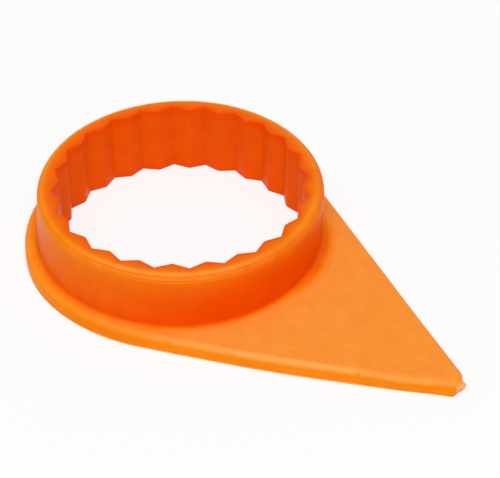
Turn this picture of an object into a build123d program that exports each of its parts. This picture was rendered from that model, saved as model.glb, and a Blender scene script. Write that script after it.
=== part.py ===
from build123d import *
from math import acos, atan2, cos, hypot, radians, sin, tan
import os

# Loose wheel nut indicator: a serrated push-on collar on a pointed plate, moulded in one piece.
# Millimetres. The origin is on the collar's axis at the underside, +Z is up and the pointer points along +X.

# Bore: V grooves run right through it, one of them on the pointer's axis
groove_count = 24
groove_root_diameter = 36.2
groove_depth = 1.0
crest_rounding = 0.7

# Collar: a short drafted ring with a rounded rim, which has a fine ledge where the mould parts
collar_height = 8.7
collar_wall = 2.25
collar_draft_angle = 1.0
collar_foot_radius = 0.5
rim_radius = 1.2
rim_ledge_width = 0.15
rim_ledge_angle = 48.0

# Plate: a round flange that runs out into a pointer
plate_thickness = 2.3
flange_width = 2.15
pointer_length = 26.0
tip_width = 2.4
tip_corner_radius = 1.2
top_edge_radius = 0.85
underside_edge_radius = 0.2

# Gate scar: the snapped-off stub of plastic that the mould's runner leaves at the tip
gate_width = 1.6
gate_height = 1.5
gate_length = 0.6
gate_taper_angle = 16.0
gate_seat_depth = 0.3

# Sizes that follow from those above
root_radius = groove_root_diameter / 2
crest_radius = root_radius - groove_depth
collar_radius = root_radius + collar_wall
flange_radius = collar_radius + flange_width
tip_reach = flange_radius + pointer_length
overall_height = plate_thickness + collar_height


def plate_outline():
    """Flange circle with two flanks tangent to it, cut off square at the tip and rounded at the tip's corners."""
    half_tip = tip_width / 2
    tangent_angle = atan2(half_tip, tip_reach) + acos(flange_radius / hypot(tip_reach, half_tip))
    tangent_x = flange_radius * cos(tangent_angle)
    tangent_y = flange_radius * sin(tangent_angle)
    with BuildSketch() as outline:
        with BuildLine():
            Line((tangent_x, -tangent_y), (tip_reach, -half_tip))
            Line((tip_reach, -half_tip), (tip_reach, half_tip))
            Line((tip_reach, half_tip), (tangent_x, tangent_y))
            ThreePointArc((tangent_x, tangent_y), (-flange_radius, 0), (tangent_x, -tangent_y))
        make_face()
        fillet(outline.vertices().group_by(Axis.X)[-1], tip_corner_radius)
    return outline.sketch


def pointer_plate():
    """Flat plate with a soft top edge and a slightly broken underside edge."""
    plate = extrude(plate_outline(), plate_thickness)
    plate = fillet(plate.edges().group_by(Axis.Z)[-1], top_edge_radius)
    return fillet(plate.edges().group_by(Axis.Z)[0], underside_edge_radius)


def collar_section():
    """Half section of the collar before the bore is cut: x is the radius and y the height."""
    draft = radians(collar_draft_angle)
    ledge = radians(rim_ledge_angle)
    below_ledge = (radians(90) - draft + ledge) / 2
    arc_height = overall_height - rim_radius
    wall_top_height = arc_height + rim_radius * sin(draft)
    wall_top_radius = collar_radius - (wall_top_height - plate_thickness) * tan(draft)
    outer_centre = wall_top_radius - rim_radius * cos(draft)
    inner_centre = outer_centre - rim_ledge_width

    def on_rim(centre, angle):
        return (centre + rim_radius * sin(angle), arc_height + rim_radius * cos(angle))

    wall_foot = (collar_radius, plate_thickness)
    wall_top = (wall_top_radius, wall_top_height)
    rim_top = (inner_centre, overall_height)
    with BuildSketch() as section:
        with BuildLine():
            Polyline(rim_top, (0, overall_height), (0, 0), (collar_radius, 0), wall_foot, wall_top)
            ThreePointArc(wall_top, on_rim(outer_centre, below_ledge), on_rim(outer_centre, ledge))
            Line(on_rim(outer_centre, ledge), on_rim(inner_centre, ledge))
            ThreePointArc(on_rim(inner_centre, ledge), on_rim(inner_centre, ledge / 2), rim_top)
        make_face()
    return section.sketch


def collar():
    """Drafted ring wall, still solid inside."""
    return revolve(Plane.XZ * collar_section(), Axis.Z)


def grooved_bore():
    """Star-shaped plug that cuts the bore: sharp groove roots and softened crests."""
    half_pitch = radians(180 / groove_count)
    corners = []
    for step in range(2 * groove_count):
        reach = root_radius if step % 2 == 0 else crest_radius
        corners.append((reach * cos(step * half_pitch), reach * sin(step * half_pitch)))
    with BuildSketch() as star:
        Polygon(*corners, align=None)
        crests = [v for v in star.vertices() if hypot(v.X, v.Y) < root_radius - groove_depth / 2]
        fillet(crests, crest_rounding)
    return extrude(star.sketch, overall_height)


def gate_scar():
    """Short tapered stub in the middle of the tip's end face."""
    seat = Plane((tip_reach - gate_seat_depth, 0, plate_thickness / 2), x_dir=(0, 1, 0), z_dir=(1, 0, 0))
    stub = seat * Rectangle(gate_width, gate_height)
    return extrude(stub, gate_seat_depth + gate_length, taper=gate_taper_angle)


def is_collar_foot(edge):
    """True for the circle where the collar's wall meets the plate's top."""
    on_plate = abs(edge.center().Z - plate_thickness) < 1e-4
    return on_plate and edge.geom_type == GeomType.CIRCLE and abs(edge.radius - collar_radius) < 1e-4


def indicator():
    """The whole moulding."""
    body = pointer_plate() + collar()
    body = fillet(body.edges().filter_by(is_collar_foot), collar_foot_radius)
    return body + gate_scar() - grooved_bore()


os.makedirs("parts", exist_ok=True)
export_step(indicator(), "parts/indicator.step")
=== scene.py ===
import bmesh
import bpy
from math import acos, atan2, cos, degrees, hypot, pi, radians, sin, sqrt, tan
from mathutils import Matrix, Vector, noise


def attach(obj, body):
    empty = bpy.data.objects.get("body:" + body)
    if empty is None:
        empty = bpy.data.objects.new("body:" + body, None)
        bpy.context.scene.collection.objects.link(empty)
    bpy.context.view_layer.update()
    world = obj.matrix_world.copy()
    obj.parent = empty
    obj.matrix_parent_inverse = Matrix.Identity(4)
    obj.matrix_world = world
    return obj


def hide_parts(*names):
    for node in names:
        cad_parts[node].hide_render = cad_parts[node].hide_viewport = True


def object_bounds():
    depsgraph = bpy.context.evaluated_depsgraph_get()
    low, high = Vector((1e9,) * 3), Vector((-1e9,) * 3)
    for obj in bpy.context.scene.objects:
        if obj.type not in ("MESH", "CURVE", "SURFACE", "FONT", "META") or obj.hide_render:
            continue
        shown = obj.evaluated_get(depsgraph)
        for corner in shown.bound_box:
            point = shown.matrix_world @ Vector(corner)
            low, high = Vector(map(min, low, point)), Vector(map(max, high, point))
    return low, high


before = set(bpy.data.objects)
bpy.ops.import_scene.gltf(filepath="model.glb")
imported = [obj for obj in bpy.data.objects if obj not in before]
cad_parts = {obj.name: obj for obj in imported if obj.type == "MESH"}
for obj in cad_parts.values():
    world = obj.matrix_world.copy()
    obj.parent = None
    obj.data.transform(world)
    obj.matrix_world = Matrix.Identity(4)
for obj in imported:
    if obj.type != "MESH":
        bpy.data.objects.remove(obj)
cadLow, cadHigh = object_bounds()
mm = 0.001                     # sizes below are written in millimetres
print("frame loaded:", sorted(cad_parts))


def hexColour(text):
    # sRGB hex to the linear colour that Blender's sockets hold
    srgb = [int(text[i:i + 2], 16) / 255 for i in (1, 3, 5)]
    return tuple(c / 12.92 if c <= 0.04045 else ((c + 0.055) / 1.055) ** 2.4 for c in srgb) + (1.0,)


def addNode(tree, kind, inputs=None, **settings):
    # a node with its settings; an input is a value, or a socket to link from
    made = tree.nodes.new("ShaderNode" + kind)
    for name, value in settings.items():
        setattr(made, name, value)
    for name, value in (inputs or {}).items():
        if isinstance(value, bpy.types.NodeSocket):
            tree.links.new(value, made.inputs[name])
        else:
            made.inputs[name].default_value = value
    return made


def perMetre(size):
    # texture scale that gives features of this many millimetres
    return 1 / (size * mm)


def ease(value, start, end):
    # 0 at start, 1 at end, smooth between
    t = min(max((value - start) / (end - start), 0), 1)
    return t * t * (3 - 2 * t)


def fade(value, start, end):
    # 1 at start, 0 at end, smooth between
    return 1 - ease(value, start, end)


def swell(value, rise, fall):
    # 0, then 1 from the end of rise to the start of fall, then 0 again
    return ease(value, *rise) * fade(value, *fall)


def blend(ends, share):
    return ends[0] + (ends[1] - ends[0]) * share


def steps(start, end, count):
    return [start + (end - start) * step / count for step in range(count + 1)]


# The moulding. Lengths are in mm, angles in degrees from the pointer's axis, less than 0 on the near side.
# Names that end in At hold where a thing starts to come or go, and where it is full or gone.
moulding = {
    # sizes of the solid
    "height": cadHigh.z / mm,
    "flangeRadius": -cadLow.x / mm,
    "plateThick": 2.3,
    "topRound": 0.85,               # soft edge round the plate's top
    "tipWidth": 2.4,
    "collarFoot": 20.35,            # outer radius where the wall meets the plate
    "footFillet": 0.5,
    "draftDeg": 1.0,
    "rimRound": 1.2,
    "grooves": 24,
    "grooveRoot": 18.1,
    "grooveDepth": 1.0,
    "crestRound": 0.7,

    # small marks of this one moulding
    "mouthRound": 0.14,             # both mouths of the bore are barely broken
    "wallLean": (-0.27, -0.25),     # the wall leans a little, its foot stands this far off the axis
    "flankBow": 0.4,                # the near flank came out of the mould slightly full
    "flankBowAt": ((4, 24), (24, 60)),
    "flangeShy": 0.3,               # and the flange next to it slightly small
    "flangeShyAt": ((50, 78), (85, 118)),
    "tipShy": 0.35,                 # the tip is narrow on the near side
    "tipShyAt": (1, 7),
    "tipCut": 0.45,                 # slightly short
    "tipCorners": (0.5, 1.6),       # unequal at its near and far corner
    "cornerLeast": 0.02,            # lines inside the outline keep at least this
    "tipSpring": 0.15,              # and sprung up a little
    "tipSpringFrom": 36,            # mm along the pointer
    "waves": (0.02, 0.16),          # height and closeness of slow waves, as no moulding is dead flat
    "waveFrom": 0.3,                # below this the plate stays flat
    "flashWidth": 0.16,             # thin fin along the plate's lower edge, where the mould closes
    "flashHeight": 0.16,
    "flashSection": ((0.6, 0.0), (1.0, 0.3), (1.0, 0.7), (0.5, 1.0)),  # shares of its width and height
    "flashUneven": (0.8, 0.5, 3, 7),  # middle, swing, closeness and seed
    "flashGrowAt": (3, 14),
    "flashThin": 0.7,               # it loses this much round the back
    "flashThinAt": (70, 105),
    "gateLength": 0.6,              # snapped-off runner at the tip, beyond the drawn end
    "gateShort": 0.15,              # at its longest it falls this far short
    "gateWidth": 1.7,
    "gateHeight": 1.6,
    "gateMiddle": 1.05,
    "gateSoft": (0.2, 0.14),        # soft sides in mm, soft top and foot as a share of its height
    "gateBreak": (0.35, 0.4, 0.6),  # it broke off at this length, longer at the far side and at the top
    "gateBreakAt": (-0.6, 0.5),     # mm across
    "gateLumps": ((3.1, 0.3, 3.4), (9.7, 0.14, 9)),  # seed, size and closeness of its torn lumps
    "gatePaleAt": (0.05, 0.45),     # share of its length
    "nickDeg": -10.8,               # small dent in the plate's top edge
    "nickAt": (0.16, 0.72),         # mm from its middle
    "nickDepth": 0.1,
    "nickDull": 0.8,                # share of the edge's paleness, rubbed and painted highlight, that it loses
    # fine steps that the mould leaves round the rim: angle from the top, width, how deep the painted shade
    # in its corner reads
    "ledges": ((40, 0.1, 0.2), (66, 0.07, 0.12), (84, 0.03, 0.08)),

    # how deep the plastic reads, 0 on the plate and 1 on the thick wall, partly its own deeper colour and
    # partly painted shade, and how pale, partly rubbed and partly painted highlight
    "flatTone": 0.08,               # painted light: the plate is painted a shade warmer clear of the collar and paler next to it, against the collar's orange bounce light
    "flatToneAt": (1, 12),          # mm from the collar's foot
    "edgeToneAt": (14, 24),         # along the near flank the edge loses that shade
    "underside": 0.3,
    "pointerSide": 0.3,
    "flashTone": 0.2,
    # painted shade: the flange reads deeper than the pointer, its top most where little flat is left
    # beside the collar
    "flangeSide": (0.42, 0.36),     # beside the pointer and further round
    "flangeEdge": (0.09, 0.18),
    "flangeTop": (0.14, 0.3),
    "flangeAt": (48, 80),
    "flangeTopAt": (0.8, 2.2),      # mm of flat left beside the collar
    "behindAt": (74, 98),
    # painted shade on the plate close to the collar, before it and behind it, and a painted shadow beside
    # the pointer's far flank
    "footShade": (0.2, 0.35, 0.73),
    "footShadeReach": (0.5, 1.9),         # how far that reaches, before it and beside the far flank
    "farFlankAt": ((-14, 20), (30, 54)),
    "footShine": 0.1,               # painted highlight: thin pale line in the foot's fillet
    "footShineAt": (-78, 8, 28),    # its middle, and how far from there it is full and gone
    "wallTopPale": 0.3,             # painted shade on the wall: paler under the rim and deeper towards its foot, in a narrower band towards the tip
    "wallTopFall": (6, 3),          # powers of the height, at the tip and further round
    "wallTopAt": (15, 45),
    "farPaintedLight": 0.25,                # and painted light away from the tip, paler there
    "farAt": (40, 110),
    "farFoot": 0.5,                 # less so at its foot
    "farFootAt": (0.5, 4),          # mm above the plate
    "farRimAt": (33, 84),           # from the rim's top down
    "farWallAt": (24, 56),          # the far side of the wall starts sooner
    # rim: angle from its top, depth and paleness: painted highlights along its round, painted shade on its
    # flat top and in the corners of its steps
    "rimTones": ((0, 0.63, 0.06), (14, 0.4, 0.2), (33, 0.36, 0.28), (40, 0.5, 0.06), (60, 0.47, 0.1),
                 (66, 0.58, 0.03), (79, 0.57, 0.05), (84, 0.66, 0.0), (90, 0.7, 0.0)),
    "rimTipward": (-0.3, 0.09),     # where the painted highlight is missing towards the tip: its flat top is paler, its round has painted shade
    "rimFlatDeg": 22,               # where its flat top ends
    "rimShade": 0.1,                  # painted shade on the rim, deepest just before the pointer and on the far side
    "rimShadeAt": ((-14, 6, 26), (55, 15, 35)),
    "rimUnlit": (0.75, 0.95),       # how much of the painted highlight is missing at the tip and at the back
    "rimUnlitTipAt": (-32, 2),
    "rimUnlitBackAt": (72, 106),
    "rimInside": 0.95,              # painted shade on the flat top beside the bore
    "mouthTone": (1.0, 0.05),       # depth and paleness of the bore's upper mouth: painted shade, with a faint painted highlight on its edge
    "boreTone": 0.85,
    "lowMouth": (0.8, 0.6),         # inside the lower mouth and under it
    # the near flank's upper edge is pale: rubbed by handling, and a painted highlight along its round
    "rubbedAndLit": (0.45, 0.35, 0.65),   # at the tip, more where the band lies low, more half-way along
    "rubbedAndLitFar": 0.12,              # all along the far side
    "rubbedAndLitLowAt": ((2.4, 3.6), (7, 11)),
    "rubbedAndLitMoreAt": (8, 12),
    "rubbedAndLitFadeAt": (18, 82),
    "rubbedAndLitUneven": (0.25, 0.5, 3),  # swing, closeness and seed
    "rubbedAndLitBand": 0.8,              # at its palest
    "rubbedAndLitAcross": ((0.4, 1.0), (1.5, 0.3)),  # from the side to the top, in the plain and the low band

    # mesh: spokes in twentieths of a degree, and loops along each stretch of the section
    "spokeSteps": (15, 5, 1),       # plain, close and closest
    "spokeReach": (20, 1200, 48),   # close about each crest and along the flanks, closest at the tip
    "loops": {"side": 12, "edge": 8, "fillet": 5, "wall": 14, "rim": 6, "mouth": 3, "bore": 6},
    "underLoops": (0.35, 0.7, 0.99),  # share of the way out
    # plate's top: at most this many mm from the collar's foot, and at most this share of the way out
    "topLoops": ((99, 0.97), (99, 0.85), (9, 0.7), (4, 0.6),
                 (2, 0.5), (1.2, 0.4), (0.7, 0.3), (0.35, 0.15)),
    "sideFrom": 1.3,                # the side starts this many fin heights up
    "sharpDeg": 32,                 # folds over this show as an edge
}
moulding["tipReach"] = cadHigh.x / mm - moulding["gateLength"]


def spokeAngles(m):
    # spokes round the axis, closer on the crests, along the flanks and at the tip
    turn = 20 * 360  # twentieths of a degree
    pitch = turn // m["grooves"]
    plain, close, closest = m["spokeSteps"]
    crestReach, flankReach, tipReach = m["spokeReach"]
    spokes = set(range(0, turn, plain))
    for groove in range(m["grooves"]):
        crest = groove * pitch + pitch // 2
        spokes.update(range(crest - crestReach, crest + crestReach + 1, close))
    for reach, step in ((flankReach, close), (tipReach, closest)):
        spokes.update(spoke % turn for spoke in range(-reach, reach + 1, step))
    return [2 * pi * spoke / turn for spoke in sorted(spokes)]


def fromTip(angle):
    # degrees from the pointer's axis, less than 0 on the near side
    turn = degrees(angle)
    return turn if turn < 180 else turn - 360


def outlineDrift(m, turn):
    # how far the near side strays from its drawn line: full along the flank, shy at tip and flange
    if turn >= 0:
        return 0.0
    full = m["flankBow"] * swell(-turn, *m["flankBowAt"])
    shyTip = m["tipShy"] * fade(-turn, *m["tipShyAt"])
    shyFlange = m["flangeShy"] * swell(-turn, *m["flangeShyAt"])
    return full - shyTip - shyFlange


def outlineAt(m, angle, inset=0.0):
    # radius of the plate's outline on one spoke, or of a line that runs this far inside it
    signed = fromTip(angle)
    turn = radians(abs(signed))
    halfTip = m["tipWidth"] / 2
    tangent = atan2(halfTip, m["tipReach"]) + acos(m["flangeRadius"] / hypot(m["tipReach"], halfTip))
    flank = Vector((cos(tangent), sin(tangent)))
    flange = m["flangeRadius"] + outlineDrift(m, signed) - inset
    endFace = m["tipReach"] - m["tipCut"] - inset
    nearCorner, farCorner = m["tipCorners"]
    cornerRound = max((nearCorner if signed < 0 else farCorner) - inset, m["cornerLeast"])
    cornerX = endFace - cornerRound
    corner = Vector((cornerX, (flange - cornerRound - cornerX * flank.x) / flank.y))
    cornerStart = corner + cornerRound * flank
    if turn >= tangent:
        return flange
    if turn >= atan2(cornerStart.y, cornerStart.x):
        return flange / cos(tangent - turn)
    if turn >= atan2(corner.y, endFace):
        along = corner.dot(Vector((cos(turn), sin(turn))))
        return along + sqrt(along ** 2 - corner.length_squared + cornerRound ** 2)
    return endFace / cos(turn)


def flashAt(m, angle):
    # uneven width of the fin, which dies out towards the tip and thins round the back
    turn = abs(fromTip(angle))
    middle, swing, close, seed = m["flashUneven"]
    uneven = middle + swing * noise.noise(Vector((cos(angle) * close, sin(angle) * close, seed)))
    thin = 1 - m["flashThin"] * ease(turn, *m["flashThinAt"])
    return m["flashWidth"] * uneven * ease(turn, *m["flashGrowAt"]) * thin


def rubbedAndLitLow(m, turn):
    # near the tip the pale band, rubbed and painted highlight, lies lower on the edge
    return swell(-turn, *m["rubbedAndLitLowAt"])


def rubbedAndLitAt(m, turn):
    # how pale the plate's upper edge is, rubbed and painted highlight, most half-way along the near flank
    if turn > 0:
        return m["rubbedAndLitFar"]
    swing, close, seed = m["rubbedAndLitUneven"]
    uneven = 1 + swing * noise.noise(Vector((turn * close, seed, 1)))
    atTip, moreLow, moreOn = m["rubbedAndLit"]
    level = atTip + moreLow * rubbedAndLitLow(m, turn) + moreOn * ease(-turn, *m["rubbedAndLitMoreAt"])
    return uneven * fade(-turn, *m["rubbedAndLitFadeAt"]) * level


def rimLit(m, turn):
    # painted highlight on the rim, full on the near side of the collar, where its ledges show most too
    unlitTip, unlitBack = m["rimUnlit"]
    tipward = unlitTip * ease(turn, *m["rimUnlitTipAt"])
    backward = unlitBack * ease(-turn, *m["rimUnlitBackAt"])
    return 1 - max(tipward, backward)


def rimTone(m, topDeg):
    # depth and paleness of the rim's skin at this angle from its top, between those that are listed
    tones = m["rimTones"]
    for (startDeg, *first), (endDeg, *second) in zip(tones, tones[1:]):
        if topDeg <= endDeg:
            share = (topDeg - startDeg) / (endDeg - startDeg)
            return [blend(ends, share) for ends in zip(first, second)]
    return tones[-1][1:]


def grooveAt(m, angle):
    # radius of the grooved bore on one spoke: sharp roots, rounded crests
    half = pi / m["grooves"]
    fromRoot = abs((angle + half) % (2 * half) - half)
    fromCrest = half - fromRoot
    root = m["grooveRoot"]
    crest = root - m["grooveDepth"]
    flankAngle = atan2(root * sin(half), root * cos(half) - crest)  # between flank and crest's spoke
    centre = crest + m["crestRound"] / sin(flankAngle)
    arcEnd = m["crestRound"] / tan(flankAngle)
    arcEndAngle = atan2(arcEnd * sin(flankAngle), crest + arcEnd * cos(flankAngle))
    if fromCrest < arcEndAngle:
        return centre * cos(fromCrest) - sqrt(m["crestRound"] ** 2 - (centre * sin(fromCrest)) ** 2)
    return root * crest * sin(half) / (root * sin(fromRoot) + crest * sin(half - fromRoot))


def mouldingLoops(m):
    # closed loops of points from the bore's lower mouth round the whole section and back into the bore
    # each is (points, depths, pales): how deep the plastic reads, painted shade included, and how pale a
    # thin or rubbed edge or a painted highlight shows
    spokes = spokeAngles(m)
    count = len(spokes)
    turns = [fromTip(angle) for angle in spokes]
    rays = [Vector((cos(angle), sin(angle))) for angle in spokes]
    loops = []

    thick = m["plateThick"]
    fin = m["flashHeight"]
    soft = m["topRound"]
    fillet = m["footFillet"]
    rim = m["rimRound"]
    mouth = m["mouthRound"]
    height = m["height"]
    lean = Vector(m["wallLean"])
    draft = radians(m["draftDeg"])
    arcHeight = height - rim
    wallTop = arcHeight + rim * sin(draft)
    wallFoot = thick + fillet * (1 - sin(draft))
    filletRadius = m["collarFoot"] + fillet * (1 - sin(draft)) / cos(draft)
    rimCentre = m["collarFoot"] - (wallTop - thick) * tan(draft) - rim * cos(draft)

    # what each spoke meets: lines of the section, rubbed places and painted highlights, and zones of
    # painted shade where the plastic reads deeper
    softEdge = [outlineAt(m, angle, soft) * ray for angle, ray in zip(spokes, rays)]
    foot = [filletRadius * ray + lean for ray in rays]
    bore = [grooveAt(m, angle) for angle in spokes]
    flash = [flashAt(m, angle) for angle in spokes]
    rubbedAndLit = [rubbedAndLitAt(m, turn) for turn in turns]
    bandLow = [rubbedAndLitLow(m, turn) for turn in turns]
    highlit = [rimLit(m, turn) for turn in turns]
    onFlange = [ease(abs(turn), *m["flangeAt"]) for turn in turns]
    behind = [ease(abs(turn), *m["behindAt"]) for turn in turns]
    broadTop = [ease(abs(turn), *m["wallTopAt"]) for turn in turns]
    far = [ease(abs(turn), *m["farAt"]) for turn in turns]
    farWall = [max(back, ease(turn, *m["farWallAt"])) for back, turn in zip(far, turns)]
    farFlank = [swell(turn, *m["farFlankAt"]) for turn in turns]
    edgeTone = [m["flatTone"] * fade(-turn, *m["edgeToneAt"]) for turn in turns]
    footBefore, footBehind, footFlank = m["footShade"]
    footShade = [blend((blend((footBefore, footBehind), back), footFlank), flank)
                 for back, flank in zip(behind, farFlank)]
    shineMiddle, *shineReach = m["footShineAt"]
    shine = [m["footShine"] * fade(abs(turn - shineMiddle), *shineReach) for turn in turns]
    rimShadeHere = [m["rimShade"] * sum(fade(abs(turn - middle), *reach) for middle, *reach in m["rimShadeAt"])
           for turn in turns]

    def addLoop(radii, z, depths, pales, shift=Vector((0, 0))):
        points = [(*(radius * ray + shift), z) for radius, ray in zip(radii, rays)]
        loops.append((points, depths, pales))

    def boreLoop(inset, z, depth, pale=0.0):
        addLoop([radius + inset for radius in bore], z, [depth] * count, [pale] * count)

    def flashLoop(share, z):
        radii = [outlineAt(m, angle, -share * width) for angle, width in zip(spokes, flash)]
        # the fin's paleness: partly the thin fin's own paler colour, partly a painted highlight along the
        # lower edge
        pales = [min(width / m["flashWidth"], 1) for width in flash]
        addLoop(radii, z, [m["flashTone"]] * count, pales)

    def edgeLoop(inset, z, upright, pales=(0.0, 0.0)):
        radii = [outlineAt(m, angle, inset) for angle in spokes]
        depths = []
        for share, back, tone in zip(onFlange, behind, edgeTone):
            side = blend((m["pointerSide"], blend(m["flangeSide"], back)), share)
            edge = blend((tone, blend(m["flangeEdge"], back)), share)
            depths.append(blend((edge, side), upright))
        addLoop(radii, z, depths, [share * blend(pales, low) for share, low in zip(rubbedAndLit, bandLow)])

    def plateLoop(reach, share):
        # a line on the plate's top, between its soft edge and the collar's foot
        points = []
        depths = []
        for start, end, flank, back, footShadeHere in zip(foot, softEdge, farFlank, behind, footShade):
            span = (end - start).length
            away = min(reach, share * span)
            points.append((*start.lerp(end, away / span), thick))
            # painted shade near the collar's foot and on the flange's narrow top, painted light clear of
            # the collar
            nearFootShade = footShadeHere * fade(away, 0, blend(m["footShadeReach"], flank))
            warm = m["flatTone"] * ease(away, *m["flatToneAt"])
            flange = blend(m["flangeTop"], back) * fade(span, *m["flangeTopAt"])
            depths.append(max(nearFootShade, warm, flange))
        loops.append((points, depths, [0.0] * count))

    def wallLoop(radius, z, flare=0.0, pale=0.0):
        # the wall leans: its foot stands off the axis, its rim is on it
        shift = lean * fade(z, thick, arcHeight)
        rise = max((z - wallFoot) / (wallTop - wallFoot), 0)
        # painted shade: deeper down the fillet and towards the wall's foot, paler under the rim; painted
        # light away from the tip
        farLoss = m["farPaintedLight"] * blend((m["farFoot"], 1), ease(z - thick, *m["farFootAt"]))
        depths = []
        for share, broad, footShadeHere in zip(farWall, broadTop, footShade):
            topLoss = m["wallTopPale"] * rise ** blend(m["wallTopFall"], broad)
            depths.append((blend((1, footShadeHere), flare) - topLoss) * (1 - farLoss * share))
        addLoop([radius] * count, z, depths, [pale * share for share in shine], shift)

    def rimLoop(turn, setback, mark=0.0):
        topDeg = degrees(turn)
        depth, pale = rimTone(m, topDeg)
        tipward = blend(m["rimTipward"], ease(topDeg, 0, m["rimFlatDeg"]))
        # painted light: the rim is paler on the far side too
        farLoss = m["farPaintedLight"] * ease(topDeg, *m["farRimAt"])
        # painted highlight and painted shade on the rim; its ledges narrow where the highlight fades
        radii = [rimCentre + rim * sin(turn) - setback * share for share in highlit]
        depths = []
        for share, back, deeper in zip(highlit, far, rimShadeHere):
            unlit = depth + tipward * (1 - back)
            depths.append((blend((unlit, depth + mark), share) + deeper) * (1 - farLoss * back))
        addLoop(radii, arcHeight + rim * cos(turn), depths, [pale * share for share in highlit])

    # underside, from the bore's mouth out to the edge
    inside, under = m["lowMouth"]
    boreLoop(mouth, 0, under)
    for share in m["underLoops"]:
        radii = [blend((inner + mouth, outlineAt(m, angle)), share) for inner, angle in zip(bore, spokes)]
        addLoop(radii, 0, [m["underside"]] * count, [0.0] * count)

    # fin at the lower edge, then the side and the upper edge of the plate
    for share, level in m["flashSection"]:
        flashLoop(share, level * fin)
    for z in steps(m["sideFrom"] * fin, thick - soft, m["loops"]["side"]):
        edgeLoop(0, z, 1.0)
    for turn in steps(0, pi / 2, m["loops"]["edge"])[1:]:
        band = m["rubbedAndLitBand"] * sin(2 * turn)
        pales = [band * blend(ends, sin(turn)) for ends in m["rubbedAndLitAcross"]]
        edgeLoop(soft * (1 - cos(turn)), thick - soft + soft * sin(turn), cos(turn) ** 2, pales)

    # plate's top, in to the collar's foot, and the fillet there
    for reach, share in m["topLoops"]:
        plateLoop(reach, share)
    for turn in steps(0, pi / 2 - draft, m["loops"]["fillet"]):
        radius = filletRadius - fillet * sin(turn)
        wallLoop(radius, thick + fillet * (1 - cos(turn)), 1 - sin(turn), sin(2 * turn))

    # drafted wall, then the rim with its fine ledges
    for z in steps(wallFoot, wallTop, m["loops"]["wall"])[1:]:
        wallLoop(m["collarFoot"] - (z - thick) * tan(draft), z)
    begin = pi / 2 - draft
    setback = 0.0
    for ledgeDeg, width, mark in sorted(m["ledges"], reverse=True) + [(0, 0, 0)]:
        for turn in steps(begin, radians(ledgeDeg), m["loops"]["rim"])[1:]:
            rimLoop(turn, setback)
        if width:
            setback += width
            begin = radians(ledgeDeg)
            rimLoop(begin, setback, mark)

    # rim's flat top and the bore
    boreLoop(mouth, height, m["rimInside"])
    mouthDepth, mouthPale = m["mouthTone"]
    for turn in steps(0, pi / 2, m["loops"]["mouth"])[1:]:
        pale = mouthPale * sin(2 * turn)
        boreLoop(mouth * (1 - sin(turn)), height - mouth * (1 - cos(turn)), mouthDepth, pale)
    for z in steps(height - mouth, mouth, m["loops"]["bore"])[1:]:
        boreLoop(0, z, m["boreTone"])
    boreLoop(mouth * (1 - cos(pi / 4)), mouth * (1 - sin(pi / 4)), inside)
    return loops


def tornGate(m, point):
    # how far the snapped runner stands out of the tip's end at this point, 0 to 1
    x, y, z = point
    if x < m["tipReach"] - m["tipCut"] - m["tipCorners"][0]:
        return 0.0
    half = m["gateWidth"] / 2
    softSide, softTop = m["gateSoft"]
    upward = (z - m["gateMiddle"]) / m["gateHeight"]
    across = fade(abs(y), half - softSide, half)
    upright = fade(abs(upward), 0.5 - softTop, 0.5)
    plain, farSide, top = m["gateBreak"]
    slope = plain + farSide * ease(y, *m["gateBreakAt"]) + top * upward
    rough = 0.0
    for seed, size, close in m["gateLumps"]:
        rough += size * noise.noise(Vector((seed, y * close, z * close)))
    return min(across * upright * max(slope + rough, 0), 1)


def buildMoulding(m):
    loops = mouldingLoops(m)
    count = len(loops[0][0])
    nickAngle = radians(m["nickDeg"]) % (2 * pi)
    nickPoint = outlineAt(m, nickAngle) * Vector((cos(nickAngle), sin(nickAngle)))
    stubLength = m["gateLength"] + m["tipCut"] - m["gateShort"]
    waveHeight, waveClose = m["waves"]
    verts = []
    levels = {"depthAndShade": [], "paleAndHighlight": [], "tornGate": []}
    for points, depths, pales in loops:
        for point, depth, pale in zip(points, depths, pales):
            x, y, z = point
            out = tornGate(m, point)
            dent = 0.0
            if z > m["plateThick"] / 2:
                dent = fade((Vector((x, y)) - nickPoint).length, *m["nickAt"])
            wave = waveHeight * noise.noise(Vector((x, y, 0)) * waveClose)
            spring = m["tipSpring"] * ease(x, m["tipSpringFrom"], m["tipReach"])
            lift = spring + wave * ease(z, m["waveFrom"], m["plateThick"]) - m["nickDepth"] * dent
            verts.append(((x + out * stubLength) * mm, y * mm, (z + lift) * mm))
            levels["depthAndShade"].append(depth)
            levels["paleAndHighlight"].append(pale * (1 - m["nickDull"] * dent))
            levels["tornGate"].append(ease(out, *m["gatePaleAt"]))
    faces = []
    for ring in range(len(loops)):
        first = ring * count
        second = (ring + 1) % len(loops) * count
        for spoke in range(count):
            after = (spoke + 1) % count
            faces.append((first + spoke, first + after, second + after, second + spoke))
    mesh = bpy.data.meshes.new("indicator_moulding")
    mesh.from_pydata(verts, [], faces)
    for name, values in levels.items():
        mesh.attributes.new(name, "FLOAT", "POINT").data.foreach_set("value", values)
    shape = bmesh.new()
    shape.from_mesh(mesh)
    bmesh.ops.recalc_face_normals(shape, faces=shape.faces)
    shape.to_mesh(mesh)
    shape.free()
    mesh.shade_smooth()
    mesh.set_sharp_from_angle(angle=radians(m["sharpDeg"]))
    piece = bpy.data.objects.new("indicator_moulding", mesh)
    bpy.context.scene.collection.objects.link(piece)
    print("moulding built:", len(loops), "loops of", count, "points,", len(faces), "quads")
    return piece
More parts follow.
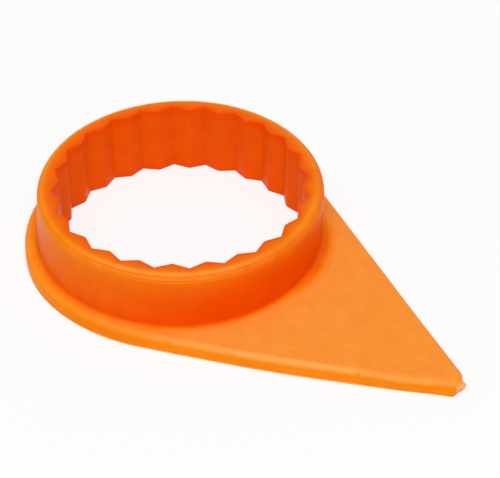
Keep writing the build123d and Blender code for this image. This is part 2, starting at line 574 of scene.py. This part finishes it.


# Polypropylene with orange pigment, injection moulded against a lightly textured tool.
# The eye sees a soft satin: broad dull highlights, a trace of light carried through its edges, and a
# deeper red-orange where the collar is thick. Painted into the colour: a painted sheen on the flat plate,
# painted highlights on edges and rim, and painted shade on the wall and near the collar's foot.
polypropylene = {
    # colour by how deep the plastic reads, painted shade and sheen included
    "depthColours": (
        (0.0, "#FB9D3F"),         # plate beside the collar, paler, with a painted sheen
        (0.08, "#FF9536"),        # flat of the plate, with a painted sheen
        (0.3, "#FF8F10"),         # clean skin of the plate's side
        (0.5, "#F57E0B"),         # rim of the collar
        (1.0, "#F45200"),         # wall of the collar, deep, partly painted shade
    ),
    "pale": "#FFB262",            # painted highlights on edges, rim and fillet, rubbed edges and thin flash
    "torn": "#FFBE92",            # stretched plastic at the gate
    "ior": 1.49,
    "specular": 0.03,
    "roughness": (0.28, 0.36),
    "tornRoughness": 0.65,
    "scatterWeight": 0.25,
    "scatterReach": (1.0, 0.4, 0.12),  # red light goes furthest
    "scatterDepth": 1.2,          # mm, that red goes
    # patterns: size in mm and detail
    "patterns": {
        "blotch": (2.5, 4.0),     # faint flow marks, where the pigment is a little richer or thinner
        "speck": (0.9, 1.0),      # few dull specks
        "grain": (0.35, 2.0),     # tool texture, real one about 0.05, coarser here so that it shows
        "fibre": (0.3, 3.0),      # torn fibres at the gate
        "sink": (6.0, 1.0),       # slow waves left as the plastic shrank
    },
    # noise levels between which these go from none to full
    "spans": {"blotch": (0.3, 0.7), "speck": (0.64, 0.76), "fibre": (0.35, 0.6)},
    "flowMarks": 0.03,            # change of depth
    "flowTint": (0.97, 1.02),     # change of brightness
    "speckDull": 0.95,
    "fibreLeast": 0.4,            # the torn colour shows at least this much
    "sinkBump": (0.25, 0.08),     # strength and height in mm
    "grainBump": (0.3, 0.012),
}


def orangePolypropylene(p):
    material = bpy.data.materials.new("orange_polypropylene_moulded")
    material.use_nodes = True
    tree = material.node_tree
    tree.nodes.clear()
    place = addNode(tree, "TexCoord").outputs["Object"]
    depth = addNode(tree, "Attribute", attribute_name="depthAndShade").outputs["Fac"]
    rubbedAndLit = addNode(tree, "Attribute", attribute_name="paleAndHighlight").outputs["Fac"]
    torn = addNode(tree, "Attribute", attribute_name="tornGate").outputs["Fac"]
    pattern = {}
    for name, (size, detail) in p["patterns"].items():
        texture = addNode(tree, "TexNoise", {"Vector": place, "Scale": perMetre(size), "Detail": detail})
        pattern[name] = texture.outputs["Fac"]
    spans = {}
    for name, (start, end) in p["spans"].items():
        spans[name] = {"Value": pattern[name], "From Min": start, "From Max": end}

    # colour by depth and painted shade, then pale where rubbed and painted highlight, then torn
    pigment = addNode(tree, "MapRange", {**spans["blotch"], "To Min": p["flowMarks"],
                                         "To Max": -p["flowMarks"]})
    richness = addNode(tree, "Math", {0: depth, 1: pigment.outputs["Result"]}, operation="ADD")
    base = addNode(tree, "ValToRGB", {"Fac": richness.outputs[0]})
    stops = base.color_ramp.elements
    shallow, *between, deep = p["depthColours"]
    stops[0].color = hexColour(shallow[1])
    stops[1].color = hexColour(deep[1])
    for position, tone in between:
        stops.new(position).color = hexColour(tone)
    edged = addNode(tree, "Mix", {0: rubbedAndLit, "A": base.outputs["Color"], "B": hexColour(p["pale"])},
                    data_type="RGBA")
    stretched = addNode(tree, "MapRange", {**spans["fibre"], "To Min": p["fibreLeast"], "To Max": 1.0})
    tornShare = addNode(tree, "Math", {0: torn, 1: stretched.outputs["Result"]}, operation="MULTIPLY")
    highlit = addNode(tree, "Mix", {0: tornShare.outputs[0], "A": edged.outputs["Result"],
                                 "B": hexColour(p["torn"])}, data_type="RGBA")

    # flow marks and specks
    tint = addNode(tree, "MapRange", {**spans["blotch"], "To Min": p["flowTint"][0],
                                      "To Max": p["flowTint"][1]})
    dull = addNode(tree, "MapRange", {**spans["speck"], "To Min": 1.0, "To Max": p["speckDull"]})
    level = addNode(tree, "Math", {0: tint.outputs["Result"], 1: dull.outputs["Result"]},
                    operation="MULTIPLY")
    colour = addNode(tree, "HueSaturation", {"Value": level.outputs[0], "Color": highlit.outputs["Result"]})

    # satin that is duller where torn, over slow waves and the tool's grain
    satin = addNode(tree, "MapRange", {**spans["blotch"], "To Min": p["roughness"][0],
                                       "To Max": p["roughness"][1]})
    roughness = addNode(tree, "Mix", {0: torn, "A": satin.outputs["Result"], "B": p["tornRoughness"]},
                        data_type="FLOAT")
    waves = addNode(tree, "Bump", {"Height": pattern["sink"], "Strength": p["sinkBump"][0],
                                   "Distance": p["sinkBump"][1] * mm})
    skin = addNode(tree, "Bump", {"Height": pattern["grain"], "Strength": p["grainBump"][0],
                                  "Distance": p["grainBump"][1] * mm, "Normal": waves.outputs["Normal"]})
    plastic = addNode(tree, "BsdfPrincipled", {
        "Base Color": colour.outputs["Color"],
        "Roughness": roughness.outputs["Result"],
        "IOR": p["ior"],
        "Specular IOR Level": p["specular"],
        "Subsurface Weight": p["scatterWeight"],
        "Subsurface Radius": p["scatterReach"],
        "Subsurface Scale": p["scatterDepth"] * mm,
        "Normal": skin.outputs["Normal"],
    })
    addNode(tree, "OutputMaterial", {"Surface": plastic.outputs["BSDF"]})
    print("material made:", material.name)
    return material


indicator = buildMoulding(moulding)
indicator.data.materials.append(orangePolypropylene(polypropylene))
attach(indicator, "root")
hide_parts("indicator")

# Plain pale studio
studio = {
    "floor": "#F7F7F6",
    "floorGlow": 0.8,          # share of plain white that the camera sees in the paper
    "floorSize": 4000,         # mm
    "floorDrop": 0.02,         # keeps the floor's face apart from the underside
    "skyStrength": 0.62,
    "keyPower": 2.75,          # watts
    "keySize": 500,            # mm
    "keyAzimuth": -6,          # a little to the camera's left
    "keyElevation": 61,
    "keyDistance": 800,        # mm
}

camera = {
    "azimuthDeg": 42.25,       # round the collar from -Y towards the tip
    "elevationDeg": 40.71,
    "distance": 260.14,        # mm from the origin
    "aimRight": 9.79,
    "aimUp": 0.13,
    "rollDeg": 0.08,
    "sensor": 36,
    "photoWidth": 500,         # px
    "focalPixels": 1800,
}


def compassPoint(azimuthDeg, elevationDeg, distance):
    azimuth = radians(azimuthDeg)
    elevation = radians(elevationDeg)
    back = Vector((sin(azimuth) * cos(elevation), -cos(azimuth) * cos(elevation), sin(elevation)))
    return back * distance * mm


def rightAndUp(back):
    # for something that stands level and looks the other way
    right = Vector((0, 0, 1)).cross(back).normalized()
    return right, back.cross(right)


def lookFrom(obj, place, target, roll=0.0):
    back = (place - target).normalized()
    right, up = rightAndUp(back)
    turnedRight = cos(roll) * right + sin(roll) * up
    turnedUp = cos(roll) * up - sin(roll) * right
    axes = Matrix((turnedRight, turnedUp, back)).transposed()
    obj.matrix_world = Matrix.Translation(place) @ axes.to_4x4()


def placeCamera(c):
    data = bpy.data.cameras.new("photo_camera")
    data.sensor_width = c["sensor"]
    data.lens = c["sensor"] * c["focalPixels"] / c["photoWidth"]
    obj = bpy.data.objects.new("photo_camera", data)
    bpy.context.scene.collection.objects.link(obj)
    place = compassPoint(c["azimuthDeg"], c["elevationDeg"], c["distance"])
    right, up = rightAndUp(place.normalized())
    target = (c["aimRight"] * right + c["aimUp"] * up) * mm
    lookFrom(obj, place, target, radians(c["rollDeg"]))
    bpy.context.scene.camera = obj
    print("camera placed:", round(data.lens, 1), "mm lens")


def seenDirectly(tree):
    # 1 where the camera, a reflection or a see-through surface looks at it
    path = addNode(tree, "LightPath").outputs
    seen = path["Is Camera Ray"]
    for ray in ("Is Glossy Ray", "Is Transmission Ray"):
        seen = addNode(tree, "Math", {0: seen, 1: path[ray]}, operation="MAXIMUM").outputs[0]
    return seen


def layFloor(s):
    # matt white paper, which keeps a pale shadow
    half = s["floorSize"] / 2 * mm
    drop = -s["floorDrop"] * mm
    corners = [(-half, -half, drop), (half, -half, drop), (half, half, drop), (-half, half, drop)]
    mesh = bpy.data.meshes.new("paper_floor")
    mesh.from_pydata(corners, [], [(0, 1, 2, 3)])
    floor = bpy.data.objects.new("paper_floor", mesh)
    bpy.context.scene.collection.objects.link(floor)
    material = bpy.data.materials.new("white_paper_matt")
    material.use_nodes = True
    tree = material.node_tree
    tree.nodes.clear()
    paper = addNode(tree, "BsdfDiffuse", {"Color": hexColour(s["floor"])})
    white = addNode(tree, "Emission", {"Color": (1, 1, 1, 1), "Strength": 1.0})
    share = addNode(tree, "Math", {0: seenDirectly(tree), 1: s["floorGlow"]}, operation="MULTIPLY")
    both = addNode(tree, "MixShader", {0: share.outputs[0], 1: paper.outputs["BSDF"],
                                       2: white.outputs["Emission"]})
    addNode(tree, "OutputMaterial", {"Surface": both.outputs["Shader"]})
    mesh.materials.append(material)
    print("floor laid")


def lightStudio(s):
    # even white surroundings with one big soft lamp, higher than the camera and a little to its left
    world = bpy.data.worlds.new("white_studio")
    world.use_nodes = True
    tree = world.node_tree
    tree.nodes.clear()
    level = addNode(tree, "MapRange", {"Value": seenDirectly(tree), "To Min": s["skyStrength"],
                                       "To Max": 1.0})
    sky = addNode(tree, "Background", {"Color": (1, 1, 1, 1), "Strength": level.outputs["Result"]})
    addNode(tree, "OutputWorld", {"Surface": sky.outputs["Background"]})
    bpy.context.scene.world = world
    lamp = bpy.data.lights.new("softbox", "AREA")
    lamp.size = s["keySize"] * mm
    lamp.energy = s["keyPower"]
    obj = bpy.data.objects.new("softbox", lamp)
    bpy.context.scene.collection.objects.link(obj)
    place = compassPoint(camera["azimuthDeg"] + s["keyAzimuth"], s["keyElevation"], s["keyDistance"])
    lookFrom(obj, place, Vector((0, 0, 0)))
    print("studio lit")


placeCamera(camera)
layFloor(studio)
lightStudio(studio)
bpy.context.scene.view_settings.view_transform = "Standard"
